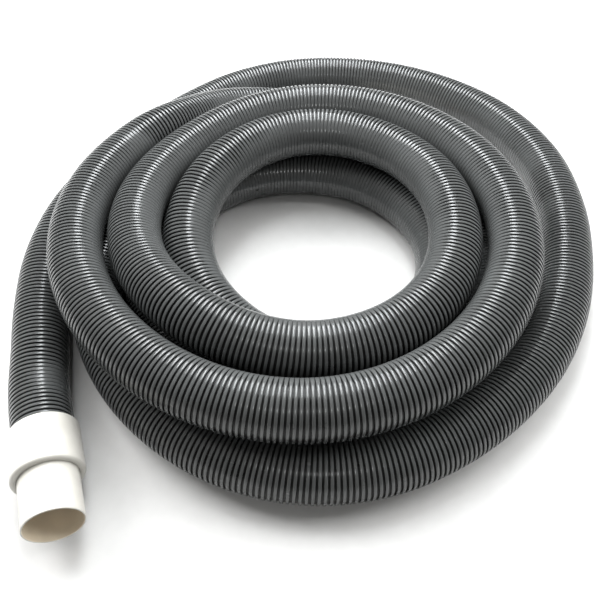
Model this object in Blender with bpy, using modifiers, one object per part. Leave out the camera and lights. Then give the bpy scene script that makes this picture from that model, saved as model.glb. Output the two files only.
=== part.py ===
"""A pool vacuum hose, stored in a loose coil of two layers on the ground.

Metres, +Z up, standing on z = 0. The hose is one flexible tube. It is divided here into stretches, one for
each turn, which meet face to face. A swivel cuff is on the end that lies free and a fixed cuff on the other.
"""

import math

import bpy
import numpy as np
from mathutils import Matrix, Vector

# ---- the hose ----
HOSE_OD = 0.0584
HOSE_RADIUS = HOSE_OD / 2
HOSE_WALL = 0.0028  # the average thickness of the ribbed wall
RIB_PITCH = 0.0050
MESH_GAP = 0.0003  # kept between pieces that touch
STRAIGHT_END = 0.008  # straight run beside each cut between two stretches

# ---- the coil, seen from above and wound clockwise from the left, one row for each turn ----
# Radius at left, back-left, back, back-right, right, front-right, front and front-left, in hose diameters.
TURN_RADII = (
    (5.24, 5.46, 6.70, 6.67, 5.29, 4.66, 4.58, 4.31),  # lower layer, outermost
    (4.14, 3.98, 3.92, 3.72, 3.78, 3.62, 3.47, 3.29),  # lower layer, hidden in the middle
    (3.11, 2.93, 2.71, 2.69, 2.71, 2.58, 2.41, 2.35),  # lower layer, innermost
    (2.35, 2.47, 2.79, 2.89, 2.80, 2.87, 2.89, 3.06),  # climbs, then upper layer, innermost
    (3.33, 3.49, 3.81, 3.97, 3.91, 3.91, 4.00, 4.16),  # upper layer, outermost
    (4.42, 4.51),  # starts down behind the upper layer
)
# Height of the hose's middle at the same places, in hose diameters: 0.5 is on the ground.
TURN_HEIGHTS = (
    (0.50, 0.50, 0.50, 0.50, 0.50, 0.50, 0.50, 0.50),
    (0.50, 0.50, 0.50, 0.50, 0.50, 0.50, 0.50, 0.50),
    (0.50, 0.50, 0.50, 0.50, 0.50, 0.50, 0.50, 0.90),
    (1.17, 1.50, 1.57, 1.53, 1.55, 1.48, 1.42, 1.64),
    (1.50, 1.43, 1.52, 1.52, 1.57, 1.49, 1.42, 1.51),
    (1.50, 1.40),
)
COIL_CENTRE = (-0.16, -0.80)  # in hose diameters, from the middle of the whole object
STATIONS_PER_TURN = 8
POINTS_PER_TURN = 24

# ---- the stretch that lies free, from the swivel cuff to the coil, in hose diameters ----
FREE_END = (
    (-4.50, -4.735, 0.564),
    (-4.80, -3.945, 0.50),
    (-5.00, -3.105, 0.50),
    (-5.24, -2.095, 0.50),
)
# ---- the tail, from the coil down into the gap in the lower layer, to the fixed cuff ----
TAIL = (
    (-2.30, 3.595, 1.01),
    (-1.21, 4.125, 0.73),
    (-0.07, 4.175, 0.565),
    (1.03, 3.995, 0.565),
)

# ---- the cuffs: sizes along the axis are counted from the rim that the hose enters ----
COLLAR_RADIUS = 0.0330
COLLAR_LENGTH = 0.0500
SPIGOT_RADIUS = 0.0270
SPIGOT_BORE_RADIUS = 0.0254
SPIGOT_LENGTH = 0.0465  # what shows in front of the collar
SOCKET_DEPTH = 0.030
SOCKET_RADIUS = HOSE_RADIUS + MESH_GAP
THREAD_ROOT_RADIUS = 0.0306
THREAD_TURNS = 4
EDGE = 0.0012  # the chamfer on the collars' rims
TURNING_STEPS = 40

# ---- what the swivel cuff holds, by its place along the axis ----
RETAINER = (0.0300, 0.0325)
SEAL = (0.0328, 0.0348)
FLANGE = (0.0351, 0.0381)
WASHER = (0.0384, 0.0394)
SHOULDER = 0.0397
RING_OUTER_RADIUS = SOCKET_RADIUS - MESH_GAP
RING_INNER_RADIUS = 0.0262
BUSH_RADIUS = SPIGOT_RADIUS + MESH_GAP

HOSE_GREY = (0.115, 0.120, 0.125)
CUFF_WHITE = (0.87, 0.86, 0.83)
SEAL_BLACK = (0.02, 0.02, 0.02)
WASHER_IVORY = (0.75, 0.72, 0.64)


def clear_scene():
    """Remove the start-up objects."""
    for item in list(bpy.data.objects):
        bpy.data.objects.remove(item, do_unlink=True)


def make_material(name, colour, roughness):
    """A plain plastic of one colour."""
    material = bpy.data.materials.new(name)
    material.use_nodes = True
    shader = material.node_tree.nodes["Principled BSDF"]
    shader.inputs["Base Color"].default_value = (*colour, 1.0)
    shader.inputs["Roughness"].default_value = roughness
    shader.inputs["Metallic"].default_value = 0.0
    return material


def smooth_curve(points, places):
    """Points of a Catmull-Rom curve through these points. Place 0 is the first, 1 the next, and so on."""
    knots = np.vstack([2 * points[0] - points[1], points, 2 * points[-1] - points[-2]])
    start = np.clip(np.floor(places).astype(int), 0, len(points) - 2)
    f = (places - start)[:, None]
    a, b, c, d = (knots[start + step] for step in range(4))
    return b + 0.5 * f * (c - a + f * (2 * a - 5 * b + 4 * c - d + f * (3 * b - a - 3 * c + d)))


def coil_points():
    """The middle of the hose along the coil, in metres."""
    radii = [radius for turn in TURN_RADII for radius in turn]
    heights = [height for turn in TURN_HEIGHTS for height in turn]
    stations = np.column_stack([radii, heights])
    places = np.arange(0, len(stations) - 1 + 1e-6, STATIONS_PER_TURN / POINTS_PER_TURN)
    radius, height = smooth_curve(stations, places).T
    angle = places * 2 * math.pi / STATIONS_PER_TURN
    height = np.maximum(height, 0.5)
    x = COIL_CENTRE[0] - radius * np.cos(angle)
    y = COIL_CENTRE[1] + radius * np.sin(angle)
    return np.column_stack([x, y, height]) * HOSE_OD


def route():
    """The middle of the whole hose, from where it enters the swivel cuff to where it enters the fixed one."""
    return np.vstack([np.array(FREE_END) * HOSE_OD, coil_points(), np.array(TAIL) * HOSE_OD])


def unit(direction):
    """The vector of length one in this direction."""
    return direction / np.linalg.norm(direction)


def stretches(points):
    """Split the route into named stretches, each a list of points with straight, square ends."""
    turns = ["hose_lower_outer_turn", "hose_lower_middle_turn", "hose_lower_inner_turn"]
    turns += ["hose_upper_inner_turn", "hose_upper_outer_turn"]
    cuts = [len(FREE_END) + POINTS_PER_TURN * turn for turn in range(len(turns) + 1)]
    names = ["hose_free_end", *turns, "hose_tail"]
    inside = unit(points[0] - points[1])
    inside_far = unit(points[-1] - points[-2])
    into_socket = SOCKET_DEPTH - MESH_GAP
    found = {}
    for name, start, end in zip(names, [0, *cuts], [*cuts, len(points) - 1]):
        middle = list(points[start + 1 : end])
        if start == 0:
            first = [points[0] + inside * into_socket, points[0] - inside * STRAIGHT_END]
        else:
            along = unit(points[start + 1] - points[start - 1])
            first = [points[start] + along * MESH_GAP / 2, points[start] + along * STRAIGHT_END]
        if end == len(points) - 1:
            last = [points[end] - inside_far * STRAIGHT_END, points[end] + inside_far * into_socket]
        else:
            along = unit(points[end + 1] - points[end - 1])
            last = [points[end] - along * STRAIGHT_END, points[end] - along * MESH_GAP / 2]
        found[name] = [*first, *middle, *last]
    return found


def make_tube(name, points, material, collection):
    """A hollow hose along these points."""
    curve = bpy.data.curves.new(name, "CURVE")
    curve.dimensions = "3D"
    curve.bevel_depth = HOSE_RADIUS
    curve.bevel_resolution = 4
    curve.render_resolution_u = 0
    curve.use_fill_caps = False
    spline = curve.splines.new("POLY")
    spline.points.add(len(points) - 1)
    for knot, point in zip(spline.points, points):
        knot.co = (*point, 1.0)
    curve.materials.append(material)
    tube = bpy.data.objects.new(name, curve)
    collection.objects.link(tube)
    wall = tube.modifiers.new("wall", "SOLIDIFY")
    wall.thickness = HOSE_WALL
    wall.offset = -1.0
    return tube


def make_turned(name, profile, material, parent, collection):
    """A turned piece. Its profile is a closed outline of (radius, place) that runs back along the outside."""
    mesh = bpy.data.meshes.new(name)
    count = len(profile)
    corners = [(radius, 0.0, place) for radius, place in profile]
    mesh.from_pydata(corners, [(i, (i + 1) % count) for i in range(count)], [])
    mesh.materials.append(material)
    piece = bpy.data.objects.new(name, mesh)
    collection.objects.link(piece)
    piece.parent = parent
    turn = piece.modifiers.new("turn", "SCREW")
    turn.steps = TURNING_STEPS
    turn.render_steps = TURNING_STEPS
    turn.use_merge_vertices = True
    turn.merge_threshold = 0.0001
    return piece


def ring_profile(inner, outer, span):
    """A plain ring between two radii and two places along the axis."""
    low, high = span
    return [(outer, high), (outer, low), (inner, low), (inner, high)]


def thread_profile():
    """The grooves inside a collar, from the front to the rim, that take the hose's ribs."""
    outline = []
    for turn in reversed(range(THREAD_TURNS)):
        groove = 0.004 + turn * RIB_PITCH
        outline += [(SOCKET_RADIUS, groove + 0.6 * RIB_PITCH), (THREAD_ROOT_RADIUS, groove + 0.5 * RIB_PITCH)]
        outline += [(THREAD_ROOT_RADIUS, groove + 0.1 * RIB_PITCH), (SOCKET_RADIUS, groove)]
    return outline


def collar_outside(front):
    """The outer side of a collar, from its front face to the rim that the hose enters."""
    outline = [(COLLAR_RADIUS - EDGE, front), (COLLAR_RADIUS, front - EDGE)]
    outline += [(COLLAR_RADIUS, EDGE), (COLLAR_RADIUS - EDGE, 0.0), (SOCKET_RADIUS, 0.0)]
    return outline


def make_axis(name, place, direction, collection):
    """An empty at the rim that the hose enters, whose +Z runs along the cuff to its mouth."""
    empty = bpy.data.objects.new(name, None)
    collection.objects.link(empty)
    turn = Vector(direction).to_track_quat("Z", "Y").to_matrix().to_4x4()
    empty.matrix_world = Matrix.Translation(Vector(place)) @ turn
    return empty


def make_swivel_cuff(axis, materials, collection):
    """The collar that holds the hose, the spigot that turns in it, and the rings between them."""
    inside = list(reversed(thread_profile()))
    inside += [(SOCKET_RADIUS, SHOULDER), (BUSH_RADIUS, SHOULDER), (BUSH_RADIUS, COLLAR_LENGTH)]
    collar = collar_outside(COLLAR_LENGTH) + inside
    make_turned("swivel_collar", collar, materials["cuff"], axis, collection)

    mouth = COLLAR_LENGTH + SPIGOT_LENGTH
    spigot = [(SPIGOT_RADIUS, mouth), (SPIGOT_RADIUS, FLANGE[1]), (RING_OUTER_RADIUS, FLANGE[1])]
    spigot += [(RING_OUTER_RADIUS, FLANGE[0]), (SPIGOT_BORE_RADIUS, FLANGE[0]), (SPIGOT_BORE_RADIUS, mouth)]
    make_turned("swivel_spigot", spigot, materials["cuff"], axis, collection)

    washer = ring_profile(BUSH_RADIUS, RING_OUTER_RADIUS, WASHER)
    make_turned("thrust_washer", washer, materials["washer"], axis, collection)
    seal = ring_profile(RING_INNER_RADIUS, RING_OUTER_RADIUS, SEAL)
    make_turned("seal_ring", seal, materials["seal"], axis, collection)
    retainer = ring_profile(RING_INNER_RADIUS, RING_OUTER_RADIUS, RETAINER)
    make_turned("retaining_ring", retainer, materials["cuff"], axis, collection)


def make_fixed_cuff(axis, materials, collection):
    """A collar and spigot in one piece, with a gasket against the end of the hose."""
    mouth = COLLAR_LENGTH + SPIGOT_LENGTH
    gasket = (SOCKET_DEPTH + MESH_GAP, SOCKET_DEPTH + 0.002)
    stop = gasket[1] + MESH_GAP
    outline = [(SPIGOT_RADIUS, mouth), (SPIGOT_RADIUS, COLLAR_LENGTH)] + collar_outside(COLLAR_LENGTH)
    outline += list(reversed(thread_profile()))
    outline += [(SOCKET_RADIUS, stop), (SPIGOT_BORE_RADIUS, stop), (SPIGOT_BORE_RADIUS, mouth)]
    make_turned("fixed_cuff", outline, materials["cuff"], axis, collection)
    ring = ring_profile(RING_INNER_RADIUS, HOSE_RADIUS, gasket)
    make_turned("fixed_cuff_gasket", ring, materials["seal"], axis, collection)


def main():
    clear_scene()
    collection = bpy.data.collections.new("pool_vacuum_hose")
    bpy.context.scene.collection.children.link(collection)
    materials = {
        "hose": make_material("hose_plastic", HOSE_GREY, 0.4),
        "cuff": make_material("cuff_plastic", CUFF_WHITE, 0.35),
        "seal": make_material("seal_rubber", SEAL_BLACK, 0.7),
        "washer": make_material("washer_plastic", WASHER_IVORY, 0.4),
    }
    points = route()
    for name, middle in stretches(points).items():
        make_tube(name, middle, materials["hose"], collection)
    near = make_axis("swivel_cuff_axis", points[0], unit(points[0] - points[1]), collection)
    far = make_axis("fixed_cuff_axis", points[-1], unit(points[-1] - points[-2]), collection)
    make_swivel_cuff(near, materials, collection)
    make_fixed_cuff(far, materials, collection)


main()
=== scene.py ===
"""The look of the pool vacuum hose: its ribbed wall, its cuffs, their plastics, the light and the camera.

Everything is in metres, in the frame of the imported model: +Z up, standing on z = 0.
"""

import math

import bpy
import numpy as np
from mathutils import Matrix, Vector


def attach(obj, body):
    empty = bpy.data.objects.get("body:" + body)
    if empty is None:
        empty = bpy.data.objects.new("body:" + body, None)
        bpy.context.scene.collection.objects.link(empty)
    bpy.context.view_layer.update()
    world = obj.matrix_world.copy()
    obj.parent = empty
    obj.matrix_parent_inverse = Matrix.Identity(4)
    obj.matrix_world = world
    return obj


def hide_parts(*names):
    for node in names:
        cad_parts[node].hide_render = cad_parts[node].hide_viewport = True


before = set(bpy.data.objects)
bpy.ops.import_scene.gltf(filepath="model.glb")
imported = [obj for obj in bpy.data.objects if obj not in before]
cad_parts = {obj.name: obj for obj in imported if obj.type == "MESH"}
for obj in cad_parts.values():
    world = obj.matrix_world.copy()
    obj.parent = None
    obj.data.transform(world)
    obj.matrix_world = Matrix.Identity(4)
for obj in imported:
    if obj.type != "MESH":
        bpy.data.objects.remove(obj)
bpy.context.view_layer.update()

# ---- the hose ----
HOSE_OD = 0.0584
HOSE_RADIUS = HOSE_OD / 2
HOSE_INSIDE = 0.029  # how far it reaches into each cuff
RIB_PITCH = 0.0050
RIB_WIDTH = 0.0031
RIB_HEIGHT = 0.0020
RIB_MARGIN = 0.002  # kept free of ribs at each end of the hose
RIB_PIECES = 8
# The rib's section, from one foot over the crest to the other: across, in half widths, and down from
# the crest, in heights.
RIB_PROFILE = (
    (-1.0, 1.0), (-1.0, 0.52), (-0.98, 0.20), (-0.91, 0.075), (-0.68, 0.018), (0.0, 0.0),
    (0.68, 0.018), (0.91, 0.075), (0.98, 0.20), (1.0, 0.52), (1.0, 1.0),
)
PAINTED_SHADE_DEPTH = 0.6  # the rib's sides take the near-black wall material from this share of its height down, as painted shade in the grooves
CLOSING = (0.045, 0.110)  # the inward bend at which the ribs start to close up, and at which they meet
CLOSED_SHARE = 0.488  # of the pitch, to each side, that a closed-up rib takes
FILM_RADIUS = 0.0274  # the flexible wall between the ribs
FILM_BORE = 0.0256
FILM_STEP = 0.0065  # between the rings of its mesh
AROUND = 40  # points in one winding of the rib and in one ring of the wall
LINE_STEP = 0.004  # between the points of the hose's middle line
SMOOTHING = 0.010  # how far the route is evened out, which takes away a drawn curve's small kinks

# ---- the coil, seen from above and wound clockwise from the left, one row for each turn ----
# The coil's radii and heights, the free end and the tail weren't chosen by hand. They are the rounded
# results of a least-squares fit to the turns' outlines, with a few of them changed afterwards.
# Radius at left, back-left, back, back-right, right, front-right, front and front-left, in hose diameters.
TURN_RADII = (
    (5.24, 5.46, 6.70, 6.67, 5.29, 4.66, 4.58, 4.31),  # lower layer, outermost
    (4.14, 3.98, 3.92, 3.72, 3.78, 3.62, 3.47, 3.29),  # lower layer, hidden in the middle
    (3.11, 2.93, 2.71, 2.69, 2.71, 2.58, 2.41, 2.35),  # lower layer, innermost
    (2.35, 2.47, 2.79, 2.89, 2.80, 2.87, 2.89, 3.06),  # climbs, then upper layer, innermost
    (3.33, 3.49, 3.81, 3.97, 3.91, 3.91, 4.00, 4.16),  # upper layer, outermost
    (4.42, 4.51),  # starts down behind the upper layer
)
# Height of the hose's middle at the same places, in hose diameters: 0.5 is on the ground.
TURN_HEIGHTS = (
    (0.50, 0.50, 0.50, 0.50, 0.50, 0.50, 0.50, 0.50),
    (0.50, 0.50, 0.50, 0.50, 0.50, 0.50, 0.50, 0.50),
    (0.50, 0.50, 0.50, 0.50, 0.50, 0.50, 0.50, 0.90),
    (1.17, 1.50, 1.57, 1.53, 1.55, 1.48, 1.42, 1.64),
    (1.50, 1.43, 1.52, 1.52, 1.57, 1.49, 1.42, 1.51),
    (1.50, 1.40),
)
COIL_CENTRE = (-0.16, -0.80)  # in hose diameters, from the middle of the whole object
ON_GROUND = 0.5  # the least height of the hose's middle, in hose diameters
STATIONS_PER_TURN = 8
POINTS_PER_TURN = 24
POINTS_PER_STRETCH = 10  # on the drawn curve, between two points of the route

# ---- the stretch that lies free, from the swivel cuff to the coil, in hose diameters ----
FREE_END = (
    (-4.50, -4.735, 0.564),
    (-4.80, -3.945, 0.50),
    (-5.00, -3.105, 0.50),
    (-5.24, -2.095, 0.50),
)
# ---- the tail, from the coil down into the gap in the lower layer, to the fixed cuff ----
TAIL = (
    (-2.30, 3.595, 1.01),
    (-1.21, 4.125, 0.73),
    (-0.07, 4.175, 0.565),
    (1.03, 3.995, 0.565),
)

# ---- the cuffs: places along the axis are counted from the rim that the hose enters ----
COLLAR_RADIUS = 0.0330
COLLAR_LENGTH = 0.0500
SPIGOT_RADIUS = 0.0270
SPIGOT_BORE = 0.0254
MOUTH = 0.0965
SOCKET_RADIUS = 0.0295
SWIVEL_SOCKET_END = 0.0397  # the inner face of the collar's shoulder
FIXED_SOCKET_END = 0.0323
NECK_RADIUS = 0.0273  # of the collar's hole that the swivel cuff's spigot comes out of
FLANGE_RADIUS = 0.0292
FLANGE_START = 0.0351
FLANGE_END = 0.0381
SHOULDER_ROUNDING = 0.0030
STEP_ROUNDING = 0.0012
MOUTH_ROUNDING = 0.0007
RIM_ROUNDING = 0.0006
NECK_ROUNDING = 0.0005
INNER_ROUNDING = 0.0004
ROUNDING_POINTS = 6
LONGEST_SIDE = 0.004
TURNED_STEPS = 128
BORE_MARGIN = 0.00035  # a face this little outside the bore still counts as bore

# ---- the materials: the darker and the lighter tone of each ----
RIB_TONES = ((0.054, 0.0565, 0.0565), (0.067, 0.0705, 0.0705))
# The wall between the ribs: partly its own darker colour, partly painted shade that darkens the grooves.
FILM_AND_GROOVE_SHADE_TONES = ((0.005, 0.005, 0.005), (0.009, 0.009, 0.009))
CUFF_TONES = ((0.46, 0.448, 0.412), (0.52, 0.508, 0.470))
BORE_TONES = ((0.67, 0.585, 0.455), (0.745, 0.655, 0.515))
RUBBER_TONES = ((0.018, 0.018, 0.018), (0.035, 0.035, 0.034))
WASHER_TONES = ((0.70, 0.66, 0.58), (0.78, 0.75, 0.67))
RING_TONES = ((0.78, 0.77, 0.73), (0.86, 0.85, 0.82))
FLOOR_TONES = ((0.59, 0.59, 0.585), (0.61, 0.61, 0.605))
NOISE_MIDDLE = (0.30, 0.70)  # the range that most of a noise texture's values are in
DUST_MIDDLE = (0.35, 0.75)
GRAIN_DEPTH = 0.0002

# ---- the camera, at the photograph's viewing angle: degrees and metres, and millimetres for the lens ----
# The angle, distance, aim, lens and shift come from the same fit.
CAMERA_ELEVATION = 48.79
CAMERA_DISTANCE = 13.669 * HOSE_OD
CAMERA_AIM = (-0.31 * HOSE_OD, -0.748 * HOSE_OD, 0.0)
CAMERA_LENS = 38.97
CAMERA_SHIFT = -0.0454
CAMERA_SENSOR = 36.0
CAMERA_NEAR = 0.02

# ---- the light: place, width and depth, power, colour, and whether gloss mirrors it ----
NEUTRAL = (1.0, 1.0, 1.0)
COOL = (0.95, 0.98, 1.0)
LIGHTS = {
    "key": ((0.0, 1.10, 1.55), (0.45, 1.70), 42.0, COOL, True),  # a strip above and behind the coil
    "top": ((0.0, 0.80, 2.20), (2.40, 2.40), 54.0, NEUTRAL, False),
    "back": ((0.0, 1.80, 1.60), (1.80, 1.80), 36.0, NEUTRAL, False),
    "left": ((-1.7, 0.90, 1.20), (1.40, 1.40), 96.0, NEUTRAL, False),
    "right": ((1.8, 0.50, 1.20), (1.40, 1.40), 52.0, NEUTRAL, False),
    "lamp": ((0.03, -0.95, 1.15), (0.04, 0.04), 1.6, NEUTRAL, True),  # small, by the camera
}
LIGHT_AIM = (0.0, 0.0, 0.05)
ROOM_COLOUR = (1.0, 0.98, 0.94, 1.0)
ROOM_STRENGTH = 0.20
FLOOR_REACH = 6
FLOOR_HEIGHT = -0.0004


# =============================== the route ===============================


def smooth_curve(points, per_stretch):
    """A Catmull-Rom curve through these points, with this many points from each to the next."""
    places = np.arange(0, len(points) - 1 + 1e-6, 1 / per_stretch)
    knots = np.vstack([2 * points[0] - points[1], points, 2 * points[-1] - points[-2]])
    start = np.clip(np.floor(places).astype(int), 0, len(points) - 2)
    share = (places - start)[:, None]
    a, b, c, d = (knots[start + step] for step in range(4))
    curved = c - a + share * (2 * a - 5 * b + 4 * c - d + share * (3 * b - a - 3 * c + d))
    return b + 0.5 * share * curved


def coil_points():
    """The middle of the hose along the coil, in metres."""
    radii = [radius for turn in TURN_RADII for radius in turn]
    heights = [height for turn in TURN_HEIGHTS for height in turn]
    stations = np.column_stack([radii, heights])
    radius, height = smooth_curve(stations, POINTS_PER_TURN / STATIONS_PER_TURN).T
    angle = np.arange(len(radius)) * 2 * math.pi / POINTS_PER_TURN
    height = np.maximum(height, ON_GROUND)
    x = COIL_CENTRE[0] - radius * np.cos(angle)
    y = COIL_CENTRE[1] + radius * np.sin(angle)
    return np.column_stack([x, y, height]) * HOSE_OD


def unit(direction):
    """The vector of length one in this direction."""
    return direction / np.linalg.norm(direction)


def distances(line):
    """How far along the line each of its points is."""
    return np.concatenate([[0], np.cumsum(np.linalg.norm(np.diff(line, axis=0), axis=1))])


def spaced(line):
    """The same line with its points evenly apart, about LINE_STEP."""
    along = distances(line)
    at = np.linspace(0, along[-1], int(math.ceil(along[-1] / LINE_STEP)) + 1)
    return np.stack([np.interp(at, along, line[:, axis]) for axis in range(3)], axis=1)


def evened(line):
    """The evenly spaced line, averaged along itself."""
    reach = int(3 * SMOOTHING / LINE_STEP)
    weights = np.exp(-0.5 * (np.arange(-reach, reach + 1) * LINE_STEP / SMOOTHING) ** 2)
    weights /= weights.sum()
    before = line[0] + np.arange(reach, 0, -1)[:, None] * (line[0] - line[1])
    after = line[-1] + np.arange(1, reach + 1)[:, None] * (line[-1] - line[-2])
    padded = np.vstack([before, line, after])
    return np.stack([np.convolve(padded[:, axis], weights, "valid") for axis in range(3)], axis=1)


def hose_line():
    """The middle of the hose from inside one cuff to inside the other, then each cuff's rim and
    direction."""
    rough = np.vstack([np.array(FREE_END) * HOSE_OD, coil_points(), np.array(TAIL) * HOSE_OD])
    near, far = unit(rough[0] - rough[1]), unit(rough[-1] - rough[-2])
    near_rim, far_rim = rough[0], rough[-1]
    curve = smooth_curve(rough, POINTS_PER_STRETCH)
    line = np.vstack([near_rim + near * HOSE_INSIDE, near_rim + near * HOSE_INSIDE / 2, curve,
                      far_rim + far * HOSE_INSIDE / 2, far_rim + far * HOSE_INSIDE])
    return spaced(evened(spaced(line))), (near_rim, near), (far_rim, far)


def carried_frames(line):
    """For each point of the line: how far along it is, two sideways directions that don't twist, and
    the curvature."""
    along = distances(line)
    ahead = np.gradient(line, along, axis=0)
    ahead /= np.linalg.norm(ahead, axis=1)[:, None]
    side = np.zeros_like(line)
    side[0] = unit(np.cross(ahead[0], (0.0, 0.0, 1.0)))
    for i in range(len(line) - 1):
        side[i + 1] = unit(side[i] - ahead[i + 1] * np.dot(side[i], ahead[i + 1]))
    up = np.cross(side, ahead)
    bend = np.gradient(ahead, along, axis=0)
    return along, side, up, bend


class Tube:
    """Places on and around the hose's middle line."""

    def __init__(self, line):
        self.line = line
        self.along, self.side, self.up, self.bend = carried_frames(line)
        self.length = self.along[-1]

    def at(self, table, place):
        """A table's value at these places along the line."""
        return np.stack([np.interp(place, self.along, table[:, axis]) for axis in range(3)], axis=-1)

    def outward(self, place, angle):
        """The direction straight out from the middle at this place and angle."""
        across = np.cos(angle)[..., None] * self.at(self.side, place)
        across += np.sin(angle)[..., None] * self.at(self.up, place)
        return across / np.linalg.norm(across, axis=-1)[..., None]

    def point(self, place, angle, radius):
        """The point at this place along the hose, this angle around it and this radius."""
        return self.at(self.line, place) + self.outward(place, angle) * radius


# =============================== meshes ===============================


def mesh_piece(name, points, quads, materials, body, slots=None, ends=()):
    """A smooth mesh object of quads, and of end faces if it has any, that rides on a body. slots gives each
    face's material."""
    mesh = bpy.data.meshes.new(name)
    counts = np.array([4] * len(quads) + [len(end) for end in ends], dtype=np.int32)
    corners = np.concatenate([quads.ravel(), *ends]).astype(np.int32)
    mesh.vertices.add(len(points))
    mesh.vertices.foreach_set("co", points.astype(np.float32).ravel())
    mesh.loops.add(len(corners))
    mesh.loops.foreach_set("vertex_index", corners)
    mesh.polygons.add(len(counts))
    mesh.polygons.foreach_set("loop_start", (np.cumsum(counts) - counts).astype(np.int32))
    for material in materials:
        mesh.materials.append(material)
    if slots is not None:
        mesh.polygons.foreach_set("material_index", slots.astype(np.int32))
    mesh.update(calc_edges=True)
    mesh.validate()
    mesh.shade_smooth()
    piece = bpy.data.objects.new(name, mesh)
    bpy.context.scene.collection.objects.link(piece)
    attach(piece, body)
    return piece


def ring_quads(rings, around):
    """Quads between successive closed rings of points, each with this many points."""
    ring = np.arange(rings - 1)[:, None] * around
    step = np.arange(around)[None, :]
    beside = (step + 1) % around
    a, b = ring + step, ring + beside
    return np.stack([a, b, b + around, a + around], axis=-1).reshape(-1, 4)


def make_film(tube, materials):
    """The flexible wall between the ribs, inside and out, as one closed tube."""
    place = np.linspace(0, tube.length, int(tube.length / FILM_STEP))[:, None]
    angle = np.linspace(0, 2 * math.pi, AROUND, endpoint=False)[None, :]
    place, angle = np.broadcast_arrays(place, angle)
    outside = tube.point(place, angle, FILM_RADIUS)
    inside = tube.point(place, angle, FILM_BORE)
    rings = np.concatenate([outside, inside[::-1]])
    points = rings.reshape(-1, 3)
    quads = ring_quads(len(rings) + 1, AROUND) % len(points)
    return mesh_piece("hose_film", points, quads, materials, "hose")


def rib_points(tube, turns):
    """Section points of the spiral rib: turns counts whole windings and parts of one."""
    centre = RIB_MARGIN + turns * RIB_PITCH
    angle = turns * 2 * math.pi
    inward = (tube.at(tube.bend, centre) * tube.outward(centre, angle)).sum(-1) * HOSE_RADIUS
    closed = np.clip((inward - CLOSING[0]) / (CLOSING[1] - CLOSING[0]), 0, 1)
    half = RIB_WIDTH / 2 / (1 - inward)
    half += closed * (CLOSED_SHARE * RIB_PITCH - half)
    sections = [tube.point(centre + across * half, angle, HOSE_RADIUS - depth * RIB_HEIGHT)
                for across, depth in RIB_PROFILE]
    return np.stack(sections, axis=1)


def make_ribs(tube, materials):
    """The spiral rib, in lengths of some two hundred windings, each one closed body."""
    windings = int((tube.length - 2 * RIB_MARGIN) / RIB_PITCH)
    shares = np.linspace(0, windings, RIB_PIECES + 1).astype(int)
    depths = np.array([depth for _, depth in RIB_PROFILE])
    # The rib's deeper sides take the near-black wall material: painted shade in the grooves.
    painted_shade_faces = ((depths + np.roll(depths, -1)) / 2 > PAINTED_SHADE_DEPTH).astype(int)
    around = len(RIB_PROFILE)
    first_end = np.arange(around)
    pieces = []
    for number, (first, last) in enumerate(zip(shares[:-1], shares[1:]), start=1):
        turns = first + np.arange((last - first) * AROUND + 1) / AROUND
        sections = rib_points(tube, turns)
        quads = ring_quads(len(sections), around)[:, ::-1]
        last_end = (first_end + (len(sections) - 1) * around)[::-1]
        slots = np.append(np.tile(painted_shade_faces, len(sections) - 1), (0, 0))
        pieces.append(mesh_piece(f"hose_rib_{number}", sections.reshape(-1, 3), quads, materials, "hose",
                                 slots, (first_end, last_end)))
    return pieces


def rounded(corner, radius, before, after):
    """Points along an arc that rounds this corner of an outline, between the points before and after it."""
    corner, before, after = (np.array(point, float) for point in (corner, before, after))
    back, on = unit(before - corner), unit(after - corner)
    half = math.acos(np.clip(np.dot(back, on), -1, 1)) / 2
    away = radius / math.tan(half)
    centre = corner + unit(back + on) * radius / math.sin(half)
    start, end = corner + back * away - centre, corner + on * away - centre
    shares = np.linspace(0, 1, ROUNDING_POINTS)
    return [tuple(centre + unit(start * (1 - share) + end * share) * radius) for share in shares]


def rounded_outline(corners):
    """A closed outline from (radius, place, rounding) corners."""
    outline = []
    count = len(corners)
    for i, (radius, place, rounding) in enumerate(corners):
        if rounding:
            before, after = corners[i - 1][:2], corners[(i + 1) % count][:2]
            outline += rounded((radius, place), rounding, before, after)
        else:
            outline.append((radius, place))
    return outline


def divided(outline):
    """The closed outline with its long sides divided, so that it shades evenly."""
    found = []
    for (r0, p0), (r1, p1) in zip(outline, outline[1:] + outline[:1]):
        parts = max(1, int(math.ceil(math.hypot(r1 - r0, p1 - p0) / LONGEST_SIDE)))
        found += [(r0 + (r1 - r0) * k / parts, p0 + (p1 - p0) * k / parts) for k in range(parts)]
    return found


def turned_piece(name, corners, place, direction, materials, body, bore_radius=0.0):
    """A lathe-turned piece about a cuff's axis. Faces at or inside bore_radius take the second material."""
    radius, along = np.array(divided(rounded_outline(corners))).T
    angles = np.linspace(0, 2 * math.pi, TURNED_STEPS, endpoint=False)
    side = unit(np.cross(direction, (0.0, 0.0, 1.0)))
    up = np.cross(side, direction)
    spoke = np.cos(angles)[:, None] * side + np.sin(angles)[:, None] * up
    points = place + along[:, None] * direction + radius[:, None] * spoke[:, None, :]
    points = points.reshape(-1, 3)
    quads = ring_quads(TURNED_STEPS + 1, len(radius)) % len(points)
    in_bore = np.maximum(radius, np.roll(radius, -1)) <= bore_radius + BORE_MARGIN
    return mesh_piece(name, points, quads, materials, body, np.tile(in_bore, TURNED_STEPS))


# =============================== materials ===============================


def new_material(name):
    """A node material and its nodes, links and shader."""
    material = bpy.data.materials.new(name)
    material.use_nodes = True
    nodes = material.node_tree.nodes
    return material, nodes, material.node_tree.links, nodes["Principled BSDF"]


def noise(nodes, links, scale, detail):
    """A noise texture in the object's own coordinates."""
    place = nodes.new("ShaderNodeTexCoord")
    texture = nodes.new("ShaderNodeTexNoise")
    texture.inputs["Scale"].default_value = scale
    texture.inputs["Detail"].default_value = detail
    links.new(place.outputs["Object"], texture.inputs["Vector"])
    return texture.outputs["Fac"]


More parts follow.
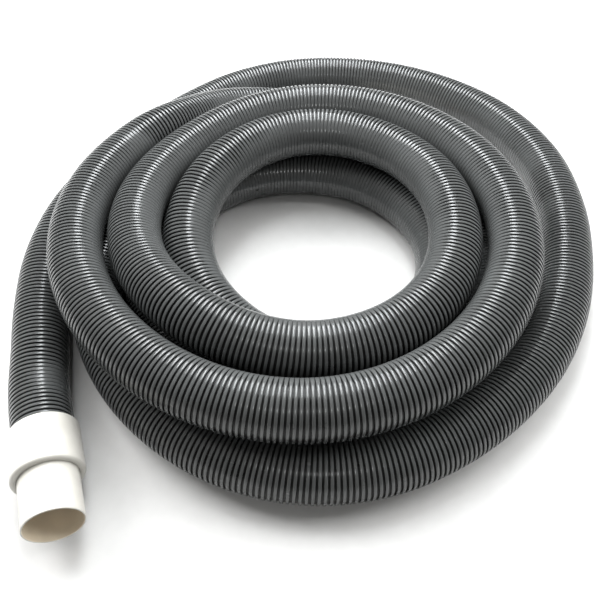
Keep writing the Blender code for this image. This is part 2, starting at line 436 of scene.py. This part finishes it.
def tinted(nodes, links, shader, source, tones, middle=NOISE_MIDDLE):
    """A base colour that goes from one tone to the other over the middle range of a 0 to 1 value."""
    node = nodes.new("ShaderNodeValToRGB")
    for element, position, tone in zip(node.color_ramp.elements, middle, tones):
        element.position = position
        element.color = (*tone, 1.0)
    links.new(source, node.inputs["Fac"])
    links.new(node.outputs["Color"], shader.inputs["Base Color"])


def spread(nodes, links, source, low, high):
    """The source's middle range stretched between two values."""
    node = nodes.new("ShaderNodeMapRange")
    node.inputs["From Min"].default_value = NOISE_MIDDLE[0]
    node.inputs["From Max"].default_value = NOISE_MIDDLE[1]
    node.inputs["To Min"].default_value = low
    node.inputs["To Max"].default_value = high
    links.new(source, node.inputs["Value"])
    return node.outputs["Result"]


def bumped(nodes, links, shader, source, strength, distance):
    """A bump from this height on the shader's normal."""
    node = nodes.new("ShaderNodeBump")
    node.inputs["Strength"].default_value = strength
    node.inputs["Distance"].default_value = distance
    links.new(source, node.inputs["Height"])
    links.new(node.outputs["Normal"], shader.inputs["Normal"])


def rib_plastic():
    """Mid-grey flexible plastic, slightly cloudy, with a soft gloss that scuffs break up."""
    material, nodes, links, shader = new_material("rib_plastic")
    cloud = noise(nodes, links, scale=18.0, detail=3.0)
    tinted(nodes, links, shader, cloud, RIB_TONES)
    scuffs = noise(nodes, links, scale=140.0, detail=4.0)
    links.new(spread(nodes, links, scuffs, low=0.19, high=0.28), shader.inputs["Roughness"])
    grain = noise(nodes, links, scale=1400.0, detail=2.0)
    bumped(nodes, links, shader, grain, strength=0.10, distance=GRAIN_DEPTH)
    shader.inputs["Specular IOR Level"].default_value = 0.55
    return material


def film_plastic_and_groove_shade():
    """The thinner wall between the ribs, dusty here and there. Its near-black tone is partly the wall's own
    darker colour and partly painted shade in the grooves.
    """
    material, nodes, links, shader = new_material("film_plastic_and_groove_shade")
    dust = noise(nodes, links, scale=60.0, detail=4.0)
    tinted(nodes, links, shader, dust, FILM_AND_GROOVE_SHADE_TONES, DUST_MIDDLE)
    links.new(spread(nodes, links, dust, low=0.25, high=0.45), shader.inputs["Roughness"])
    shader.inputs["Specular IOR Level"].default_value = 0.15
    return material


def cuff_plastic():
    """Warm white moulded plastic with a fine moulding texture."""
    material, nodes, links, shader = new_material("cuff_plastic")
    cloud = noise(nodes, links, scale=45.0, detail=3.0)
    tinted(nodes, links, shader, cloud, CUFF_TONES)
    wear = noise(nodes, links, scale=220.0, detail=3.0)
    links.new(spread(nodes, links, wear, low=0.30, high=0.42), shader.inputs["Roughness"])
    grain = noise(nodes, links, scale=900.0, detail=2.0)
    bumped(nodes, links, shader, grain, strength=0.06, distance=GRAIN_DEPTH)
    shader.inputs["Specular IOR Level"].default_value = 0.5
    return material


def bore_plastic():
    """The same plastic inside the cuff's bore, in a browner tone than outside, mottled."""
    material, nodes, links, shader = new_material("bore_plastic")
    bore_mottle = noise(nodes, links, scale=55.0, detail=4.0)
    tinted(nodes, links, shader, bore_mottle, BORE_TONES)
    links.new(spread(nodes, links, bore_mottle, low=0.45, high=0.60), shader.inputs["Roughness"])
    return material


def small_part(name, tones, smoothest, roughest):
    """A plain small part's material: two close tones and a roughness range."""
    material, nodes, links, shader = new_material(name)
    mottle = noise(nodes, links, scale=300.0, detail=3.0)
    tinted(nodes, links, shader, mottle, tones)
    links.new(spread(nodes, links, mottle, smoothest, roughest), shader.inputs["Roughness"])
    return material


def floor_paper():
    """The pale floor."""
    material, nodes, links, shader = new_material("floor_paper")
    fibre = noise(nodes, links, scale=60.0, detail=2.0)
    tinted(nodes, links, shader, fibre, FLOOR_TONES)
    shader.inputs["Roughness"].default_value = 0.9
    shader.inputs["Specular IOR Level"].default_value = 0.2
    return material


# =============================== the scene ===============================


def make_camera():
    """The photograph's viewpoint."""
    rise = math.radians(CAMERA_ELEVATION)
    data = bpy.data.cameras.new("camera")
    data.sensor_width = CAMERA_SENSOR
    data.lens = CAMERA_LENS
    data.shift_y = CAMERA_SHIFT
    data.clip_start = CAMERA_NEAR
    camera = bpy.data.objects.new("camera", data)
    back = Vector((0.0, -math.cos(rise), math.sin(rise))) * CAMERA_DISTANCE
    camera.location = Vector(CAMERA_AIM) + back
    camera.rotation_euler = (math.pi / 2 - rise, 0.0, 0.0)
    bpy.context.scene.collection.objects.link(camera)
    bpy.context.scene.camera = camera


def area_light(name, place, size, power, colour, mirrored):
    """A soft light of this width and depth that points at the object."""
    data = bpy.data.lights.new(name, "AREA")
    data.shape = "RECTANGLE"
    data.size, data.size_y = size
    data.energy = power
    data.color = colour
    light = bpy.data.objects.new(name, data)
    light.location = place
    light.visible_glossy = mirrored
    light.rotation_euler = (Vector(LIGHT_AIM) - Vector(place)).to_track_quat("-Z", "Y").to_euler()
    bpy.context.scene.collection.objects.link(light)


def make_lights():
    """A long key strip above and behind the coil, softboxes over, behind and beside it, a small lamp by the
    camera and a dim room."""
    for name, settings in LIGHTS.items():
        area_light(name, *settings)
    world = bpy.data.worlds.new("room")
    world.use_nodes = True
    shade = world.node_tree.nodes["Background"]
    shade.inputs["Color"].default_value = ROOM_COLOUR
    shade.inputs["Strength"].default_value = ROOM_STRENGTH
    bpy.context.scene.world = world
    bpy.context.scene.view_settings.view_transform = "Standard"


def make_floor():
    """A wide pale floor, which isn't part of the object."""
    mesh = bpy.data.meshes.new("floor")
    ways = ((-1, -1), (1, -1), (1, 1), (-1, 1))
    corners = [(x * FLOOR_REACH, y * FLOOR_REACH, FLOOR_HEIGHT) for x, y in ways]
    mesh.from_pydata(corners, [], [(0, 1, 2, 3)])
    mesh.materials.append(floor_paper())
    floor = bpy.data.objects.new("floor", mesh)
    bpy.context.scene.collection.objects.link(floor)


def make_swivel_cuff(place, direction, materials):
    """The collar that holds the hose and the spigot that turns in it."""
    collar = (
        (COLLAR_RADIUS, COLLAR_LENGTH, SHOULDER_ROUNDING),
        (COLLAR_RADIUS, 0.0, RIM_ROUNDING),
        (SOCKET_RADIUS, 0.0, INNER_ROUNDING),
        (SOCKET_RADIUS, SWIVEL_SOCKET_END, 0.0),
        (NECK_RADIUS, SWIVEL_SOCKET_END, 0.0),
        (NECK_RADIUS, COLLAR_LENGTH, NECK_ROUNDING),
    )
    outer = turned_piece("swivel_cuff_collar", collar, place, direction, materials, "hose")
    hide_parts("swivel_collar")
    spigot = (
        (SPIGOT_RADIUS, MOUTH, MOUTH_ROUNDING),
        (SPIGOT_RADIUS, FLANGE_END, 0.0),
        (FLANGE_RADIUS, FLANGE_END, INNER_ROUNDING),
        (FLANGE_RADIUS, FLANGE_START, INNER_ROUNDING),
        (SPIGOT_BORE, FLANGE_START, 0.0),
        (SPIGOT_BORE, MOUTH, MOUTH_ROUNDING),
    )
    inner = turned_piece("swivel_cuff_spigot", spigot, place, direction, materials, "spigot", SPIGOT_BORE)
    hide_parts("swivel_spigot")


def make_fixed_cuff(place, direction, materials):
    """The far cuff: a collar and a spigot in one piece."""
    corners = (
        (SPIGOT_RADIUS, MOUTH, MOUTH_ROUNDING),
        (SPIGOT_RADIUS, COLLAR_LENGTH, STEP_ROUNDING),
        (COLLAR_RADIUS, COLLAR_LENGTH, SHOULDER_ROUNDING),
        (COLLAR_RADIUS, 0.0, RIM_ROUNDING),
        (SOCKET_RADIUS, 0.0, INNER_ROUNDING),
        (SOCKET_RADIUS, FIXED_SOCKET_END, 0.0),
        (SPIGOT_BORE, FIXED_SOCKET_END, 0.0),
        (SPIGOT_BORE, MOUTH, MOUTH_ROUNDING),
    )
    piece = turned_piece("fixed_cuff_body", corners, place, direction, materials, "hose", SPIGOT_BORE)
    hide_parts("fixed_cuff")
    return piece


def repaint(names, material):
    """Give CAD pieces that stay a better material."""
    for name in names:
        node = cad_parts[name]
        node.data.materials.clear()
        node.data.materials.append(material)


def main():
    """Build the camera, the hose, its cuffs, the light and the floor."""
    make_camera()
    line, (near_rim, near), (far_rim, far) = hose_line()
    tube = Tube(line)
    # The near-black wall material also goes on the rib's deeper sides, as painted groove shade.
    wall_and_groove_shade = film_plastic_and_groove_shade()
    hose = make_film(tube, [wall_and_groove_shade])
    ribs = make_ribs(tube, [rib_plastic(), wall_and_groove_shade])
    cuffs = [cuff_plastic(), bore_plastic()]
    make_swivel_cuff(near_rim, near, cuffs)
    far_cuff = make_fixed_cuff(far_rim, far, cuffs)
    rubber = small_part("seal_rubber", RUBBER_TONES, smoothest=0.60, roughest=0.80)
    repaint(["seal_ring", "fixed_cuff_gasket"], rubber)
    repaint(["thrust_washer"], small_part("washer_plastic", WASHER_TONES, smoothest=0.35, roughest=0.50))
    repaint(["retaining_ring"], small_part("ring_plastic", RING_TONES, smoothest=0.35, roughest=0.50))
    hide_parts(*[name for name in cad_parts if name.startswith("hose_")])
    make_lights()
    make_floor()


main()
